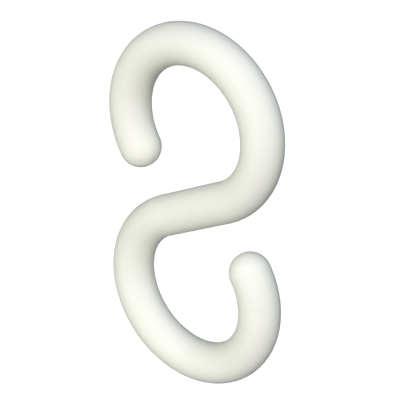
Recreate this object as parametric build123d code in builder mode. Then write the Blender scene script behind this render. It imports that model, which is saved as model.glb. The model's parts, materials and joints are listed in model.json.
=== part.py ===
from build123d import *
from math import acos, atan2, degrees, hypot
import os

# Cable hook: a round plastic rod moulded as a flat S, in one piece. Two nearly closed loops are
# joined by a short straight shank that crosses between them, and each free end is a half ball.
# The two halves are alike: half a turn about the middle of the shank swaps them.
#
# Millimetres, +Z up. The S lies in the XZ plane with one loop straight above the other, as it
# hangs. The origin is the centre of the upper eye.

# Driving dimensions
ROD_DIAMETER = 6.0  # round section, the same from tip to tip
EYE_DIAMETER = 17.0  # clear width inside each loop
SHANK_LENGTH = 11.6  # straight stretch between the two loops
MOUTH_GAP = 4.5  # clear way in past each tip, square to the shank

# The loops. The shank is a straight tangent inside both of them, and half of it, a loop's radius
# and half of the spacing make a right-angled triangle.
rod_radius = ROD_DIAMETER / 2
loop_radius = (EYE_DIAMETER + ROD_DIAMETER) / 2  # to the middle of the rod
half_shank = SHANK_LENGTH / 2
eye_spacing = 2 * hypot(loop_radius, half_shank)
shank_slope = degrees(atan2(half_shank, loop_radius))

# A loop that has turned by an angle from the shank stands loop_radius * (1 - cos(angle)) off the
# shank's line. Coming back round, it stops where that still leaves the mouth open.
tip_offset = MOUTH_GAP + ROD_DIAMETER
loop_sweep = 360 - degrees(acos(1 - tip_offset / loop_radius))

# The middle line of the rod: both loops start in line with the shank and turn the same way.
with BuildLine(Plane.XZ) as middle_line:
    upper_loop = CenterArc((0, 0), loop_radius, shank_slope - 90, loop_sweep)
    lower_loop = CenterArc((0, -eye_spacing), loop_radius, shank_slope + 90, loop_sweep)
    shank = Line(lower_loop @ 0, upper_loop @ 0)

# The hook: the round section swept from tip to tip, and half a ball on each cut end.
with BuildPart() as hook:
    rod_path = middle_line.wire()
    with BuildSketch(Plane(origin=rod_path @ 0, z_dir=rod_path % 0)) as rod_section:
        Circle(rod_radius)
    sweep(path=rod_path)

    tips = [Plane(origin=loop @ 1, z_dir=loop % 1) for loop in (upper_loop, lower_loop)]
    with Locations(*tips):
        Sphere(rod_radius, arc_size1=0, align=(Align.CENTER, Align.CENTER, Align.MIN))

hook.part.label = "hook"
os.makedirs("parts", exist_ok=True)
export_step(hook.part, "parts/hook.step")
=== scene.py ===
import json
from math import acos, atan2, cos, pi, radians, sin, sqrt

import bmesh
import bpy
import numpy as np
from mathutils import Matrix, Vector


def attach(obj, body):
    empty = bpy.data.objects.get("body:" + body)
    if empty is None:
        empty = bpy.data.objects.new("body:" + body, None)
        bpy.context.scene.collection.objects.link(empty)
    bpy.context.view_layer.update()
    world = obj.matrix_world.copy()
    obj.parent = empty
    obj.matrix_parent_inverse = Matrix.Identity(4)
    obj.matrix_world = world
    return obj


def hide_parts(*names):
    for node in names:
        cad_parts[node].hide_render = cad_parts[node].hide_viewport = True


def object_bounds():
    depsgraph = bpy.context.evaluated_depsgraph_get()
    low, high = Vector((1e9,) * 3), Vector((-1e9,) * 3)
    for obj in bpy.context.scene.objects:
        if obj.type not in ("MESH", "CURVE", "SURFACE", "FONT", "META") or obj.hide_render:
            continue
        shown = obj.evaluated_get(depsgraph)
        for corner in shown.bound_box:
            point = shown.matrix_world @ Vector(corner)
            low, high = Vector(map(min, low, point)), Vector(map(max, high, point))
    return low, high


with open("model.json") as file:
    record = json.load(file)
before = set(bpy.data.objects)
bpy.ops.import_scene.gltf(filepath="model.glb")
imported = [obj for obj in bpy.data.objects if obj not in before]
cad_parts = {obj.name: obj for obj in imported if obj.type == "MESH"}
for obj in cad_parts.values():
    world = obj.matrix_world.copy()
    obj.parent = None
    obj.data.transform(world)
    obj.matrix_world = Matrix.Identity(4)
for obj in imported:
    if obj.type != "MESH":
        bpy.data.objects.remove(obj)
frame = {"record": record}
cad_low, cad_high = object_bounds()

scene = bpy.context.scene
scene.view_settings.view_transform = "Standard"


# ---- Hook ----------------------------------------------------------------------------------------
# The whole object is one piece: a round rod of ivory plastic, injection moulded as a flat S. The
# two loops, the straight shank that crosses between them and the half balls on the free ends all
# have the same section. Nothing is fixed to it: it hangs by its upper loop from a rail or a wire.

MOUTH_GAP = 0.0045  # clear way in past each tip, square to the shank
POINTS_ROUND_ROD = 64
RINGS_ON_HALF_SHANK = 12
RINGS_ON_LOOP = 110
RINGS_ON_TIP = 16

mounts = {mount["name"]: mount for mount in frame["record"]["mounts"]}
upper_eye, lower_eye = (Vector(mounts[name]["pos_m"]) for name in ("upper_eye", "lower_eye"))
hook_centre = (upper_eye + lower_eye) / 2
rod_radius = mounts["upper_eye"]["dims"]["length_mm"] / 2000
loop_radius = mounts["upper_eye"]["dims"]["r_mm"] / 1000 + rod_radius

# The shank is a tangent inside both loops, and each loop stops where its tip leaves the mouth open.
half_shank = sqrt((upper_eye - lower_eye).length_squared / 4 - loop_radius**2)
shank_slope = atan2(half_shank, loop_radius)
loop_sweep = 2 * pi - acos(1 - (MOUTH_GAP + 2 * rod_radius) / loop_radius)
tip_start = half_shank + loop_radius * loop_sweep


def middle_line(gone):
    """The rod's middle line in the plane of the S. For each distance gone from the middle of the
    shank it gives the point (x, z), the heading there, and how far the point is past the loop's end.
    The shank runs straight at its slope. On the loop the heading grows by distance / loop_radius,
    and the point moves by loop_radius * (sin, -cos) of the heading, less that of the slope. Past the
    loop's end it runs straight on. Half a turn gives the other half: distances below zero have
    the same heading and the opposite point."""
    distance = np.abs(gone)
    straight = np.minimum(distance, half_shank)
    turned = np.clip((distance - half_shank) / loop_radius, 0, loop_sweep)
    past_end = np.maximum(distance - tip_start, 0)
    heading = shank_slope + turned
    x = straight * cos(shank_slope) + loop_radius * (np.sin(heading) - sin(shank_slope))
    z = straight * sin(shank_slope) - loop_radius * (np.cos(heading) - cos(shank_slope))
    x += past_end * np.cos(heading)
    z += past_end * np.sin(heading)
    return np.sign(gone) * x, np.sign(gone) * z, heading, past_end


def rod_skin():
    """The skin of the rod as a grid of points, one ring for each place along the middle line. A ring
    is centre + radius * (cos a * across + sin a * Y), where across is the heading turned a quarter
    in the plane of the S. Its radius is the rod's, and sqrt(rod_radius^2 - past_end^2) on a tip."""
    on_shank = np.linspace(0, half_shank, RINGS_ON_HALF_SHANK, endpoint=False)
    on_loop = np.linspace(half_shank, tip_start, RINGS_ON_LOOP)
    on_tip = tip_start + rod_radius * np.sin(np.linspace(0, pi / 2, RINGS_ON_TIP + 1)[1:])
    upper_half = np.r_[on_shank, on_loop, on_tip]
    x, z, heading, past_end = middle_line(np.r_[-upper_half[:0:-1], upper_half])

    angle = np.linspace(0, 2 * pi, POINTS_ROUND_ROD, endpoint=False)
    radius = np.sqrt(np.maximum(rod_radius**2 - past_end**2, 0))
    across, sideways = np.outer(radius, np.cos(angle)), np.outer(radius, np.sin(angle))
    grid = np.stack([
        x[:, None] - across * np.sin(heading)[:, None],
        sideways,
        z[:, None] + across * np.cos(heading)[:, None],
    ], axis=2)
    return grid + np.array(hook_centre)


def closed_tube(name, grid):
    """A mesh with a four-sided face between neighbouring points of neighbouring rings. The first and
    last rings have no width, so merging their points closes the tube with one point at each end."""
    rings, around = grid.shape[:2]
    here = np.arange(rings * around).reshape(rings, around)
    beside = np.roll(here, -1, axis=1)
    faces = np.stack([here[:-1], here[1:], beside[1:], beside[:-1]], axis=2)
    mesh = bpy.data.meshes.new(name)
    mesh.from_pydata(grid.reshape(-1, 3), [], faces.reshape(-1, 4).tolist())
    work = bmesh.new()
    work.from_mesh(mesh)
    bmesh.ops.remove_doubles(work, verts=work.verts, dist=1e-7)
    bmesh.ops.recalc_face_normals(work, faces=work.faces)
    work.to_mesh(mesh)
    work.free()
    mesh.shade_smooth()
    return mesh


def add_node(tree, kind, inputs, **settings):
    """A new node with these settings. Each input named or numbered in inputs gets a value, or a link
    if what is given is another node's output."""
    node = tree.nodes.new(kind)
    for name, value in settings.items():
        setattr(node, name, value)
    for key, value in inputs.items():
        if isinstance(value, bpy.types.NodeSocket):
            tree.links.new(value, node.inputs[key])
        else:
            node.inputs[key].default_value = value
    return node


THIN_IVORY, FULL_IVORY = (0.875, 0.885, 0.775, 1), (0.905, 0.915, 0.805, 1)
LEAST_ROUGH, MOST_ROUGH = 0.78, 0.9
CLOUDS_PER_METRE, PATCHES_PER_METRE, GRAINS_PER_METRE = 120, 450, 3600
GRAIN_DEPTH, GRAIN_STRENGTH = 0.00004, 0.6
NOISE_LOW, NOISE_HIGH = 0.3, 0.7  # nearly all of a noise lies between these


def moulded_plastic():
    """Ivory plastic from a fine spark-eroded mould: the pigment is very slightly clouded, the gloss
    varies a little, and the skin has a grain too fine to see from a step away."""
    material = bpy.data.materials.new("ivory_moulded_plastic")
    material.use_nodes = True
    tree = material.node_tree
    shader = tree.nodes["Principled BSDF"]
    place = tree.nodes.new("ShaderNodeTexCoord").outputs["Object"]

    clouds = add_node(tree, "ShaderNodeTexNoise", {"Vector": place, "Scale": CLOUDS_PER_METRE, "Detail": 3})
    tone = add_node(
        tree, "ShaderNodeMapRange",
        {"Value": clouds.outputs["Fac"], "From Min": NOISE_LOW, "From Max": NOISE_HIGH},
    )
    ivory = add_node(
        tree, "ShaderNodeMix", {0: tone.outputs["Result"], 6: THIN_IVORY, 7: FULL_IVORY}, data_type="RGBA"
    )
    tree.links.new(ivory.outputs[2], shader.inputs["Base Color"])

    patches = add_node(tree, "ShaderNodeTexNoise", {"Vector": place, "Scale": PATCHES_PER_METRE, "Detail": 2})
    gloss = add_node(
        tree, "ShaderNodeMapRange",
        {
            "Value": patches.outputs["Fac"],
            "From Min": NOISE_LOW,
            "From Max": NOISE_HIGH,
            "To Min": LEAST_ROUGH,
            "To Max": MOST_ROUGH,
        },
    )
    tree.links.new(gloss.outputs["Result"], shader.inputs["Roughness"])

    grain = add_node(tree, "ShaderNodeTexNoise", {"Vector": place, "Scale": GRAINS_PER_METRE, "Detail": 2})
    skin = add_node(
        tree, "ShaderNodeBump",
        {"Strength": GRAIN_STRENGTH, "Distance": GRAIN_DEPTH, "Height": grain.outputs["Fac"]},
    )
    tree.links.new(skin.outputs["Normal"], shader.inputs["Normal"])

    shader.inputs["IOR"].default_value = 1.49
    shader.inputs["Specular IOR Level"].default_value = 0.2
    return material


hook = bpy.data.objects.new("cable_hook", closed_tube("cable_hook", rod_skin()))
scene.collection.objects.link(hook)
hook.data.materials.append(moulded_plastic())
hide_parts("hook")
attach(hook, "root")


# ---- Floor and backdrop --------------------------------------------------------------------------
# A plain pale floor, well below the hanging hook, in a white room. The camera and reflections see
# the floor's own colour, its light and shadow, and a glow that brings it up to the room's white.
# The light that scatters on to the hook meets a dark floor and room, so the lamps shape it alone.

FLOOR_DROP = 0.35
FLOOR_REACH = 4.0
FLOOR_PALE, FLOOR_DARK = (0.8, 0.8, 0.8, 1), (0.04, 0.04, 0.04, 1)
FLOOR_GLOW = 0.75


def seen_or_mirrored(tree):
    """1 for rays from the camera and for reflected and transmitted ones, and 0 for the rest."""
    ray = tree.nodes.new("ShaderNodeLightPath").outputs
    seen = add_node(
        tree, "ShaderNodeMath", {0: ray["Is Camera Ray"], 1: ray["Is Glossy Ray"]}, operation="MAXIMUM"
    )
    return add_node(
        tree, "ShaderNodeMath", {0: seen.outputs[0], 1: ray["Is Transmission Ray"]}, operation="MAXIMUM"
    ).outputs[0]


def floor_paint():
    material = bpy.data.materials.new("pale_floor")
    material.use_nodes = True
    tree = material.node_tree
    shader = tree.nodes["Principled BSDF"]
    seen = seen_or_mirrored(tree)
    colour = add_node(tree, "ShaderNodeMix", {0: seen, 6: FLOOR_DARK, 7: FLOOR_PALE}, data_type="RGBA")
    glow = add_node(tree, "ShaderNodeMath", {0: seen, 1: FLOOR_GLOW}, operation="MULTIPLY")
    tree.links.new(colour.outputs[2], shader.inputs["Base Color"])
    tree.links.new(glow.outputs[0], shader.inputs["Emission Strength"])
    shader.inputs["Emission Color"].default_value = (1, 1, 1, 1)
    shader.inputs["Roughness"].default_value = 0.9
    shader.inputs["Specular IOR Level"].default_value = 0
    return material


height = cad_low.z - FLOOR_DROP
corners = [(x * FLOOR_REACH, y * FLOOR_REACH, height) for x, y in ((-1, -1), (1, -1), (1, 1), (-1, 1))]
floor = bpy.data.objects.new("floor", bpy.data.meshes.new("floor"))
floor.data.from_pydata(corners, [], [(0, 1, 2, 3)])
floor.data.materials.append(floor_paint())
scene.collection.objects.link(floor)

scene.world = bpy.data.worlds.new("white_studio")
scene.world.use_nodes = True
sky = scene.world.node_tree
sky.nodes["Background"].inputs["Color"].default_value = (1, 1, 1, 1)
sky.links.new(seen_or_mirrored(sky), sky.nodes["Background"].inputs["Strength"])


# ---- Camera --------------------------------------------------------------------------------------
# A long lens, in front of the hook, to its right and above it.

AZIMUTH, ELEVATION = radians(38.53), radians(26.58)
DISTANCE = 0.23524
LENS, SENSOR_WIDTH = 151.8, 36
AIM = hook_centre + Vector((0.00021, 0.00088, 0.00111))


def direction(azimuth, elevation):
    """The unit vector out of the hook: azimuth 0 is -Y, and a quarter turn is +X."""
    return Vector((sin(azimuth) * cos(elevation), -cos(azimuth) * cos(elevation), sin(elevation)))


camera = bpy.data.objects.new("camera", bpy.data.cameras.new("camera"))
camera.data.sensor_width = SENSOR_WIDTH
camera.data.lens = LENS
camera.data.clip_start = 0.01
out = direction(AZIMUTH, ELEVATION)
camera.location = AIM + out * DISTANCE
camera.rotation_euler = out.to_track_quat("Z", "Y").to_euler()
scene.collection.objects.link(camera)
scene.camera = camera


# ---- Lamps ---------------------------------------------------------------------------------------
# Six soft lamps, large and far off: the key just left of the camera with a weaker, cooler one above
# it, a warm one low on the left, two on the right, the further one high and behind the hook, and
# one low behind the hook, straight across from the camera, that lights only its back.

SUN_SPREAD = radians(30)


def soft_sun(name, azimuth, elevation, strength, colour):
    """A soft lamp so far off that its light is even. Strength is in watts per square metre."""
    lamp = bpy.data.objects.new(name, bpy.data.lights.new(name, "SUN"))
    lamp.data.angle = SUN_SPREAD
    lamp.data.energy = strength
    lamp.data.color = colour
    out = direction(radians(azimuth), radians(elevation))
    lamp.rotation_euler = out.to_track_quat("Z", "Y").to_euler()
    scene.collection.objects.link(lamp)


soft_sun("key", 25, 20, 2.175, (1.0, 0.98, 0.88))
soft_sun("upper", 25, 33, 1.43, (0.69, 0.67, 1.0))
soft_sun("left", -50, 0, 0.73, (0.86, 1.0, 0.67))
soft_sun("right", 95, 25, 0.41, (0.93, 1.0, 0.99))
soft_sun("far_right", 145, 40, 0.6, (0.76, 0.94, 1.0))

BACK_LAMP_AWAY, BACK_LAMP_WIDTH = 0.45, 0.24
BACK_LAMP_STRENGTH = 3.0
back = bpy.data.objects.new("back", bpy.data.lights.new("back", "AREA"))
back.data.shape = "DISK"
back.data.size = BACK_LAMP_WIDTH
back.data.color = (1.0, 0.97, 0.96)
back.data.energy = BACK_LAMP_STRENGTH * pi * BACK_LAMP_AWAY**2
back.location = hook_centre - out * BACK_LAMP_AWAY
back.rotation_euler = (-out).to_track_quat("Z", "Y").to_euler()
back.visible_camera = False
back.visible_glossy = False
scene.collection.objects.link(back)
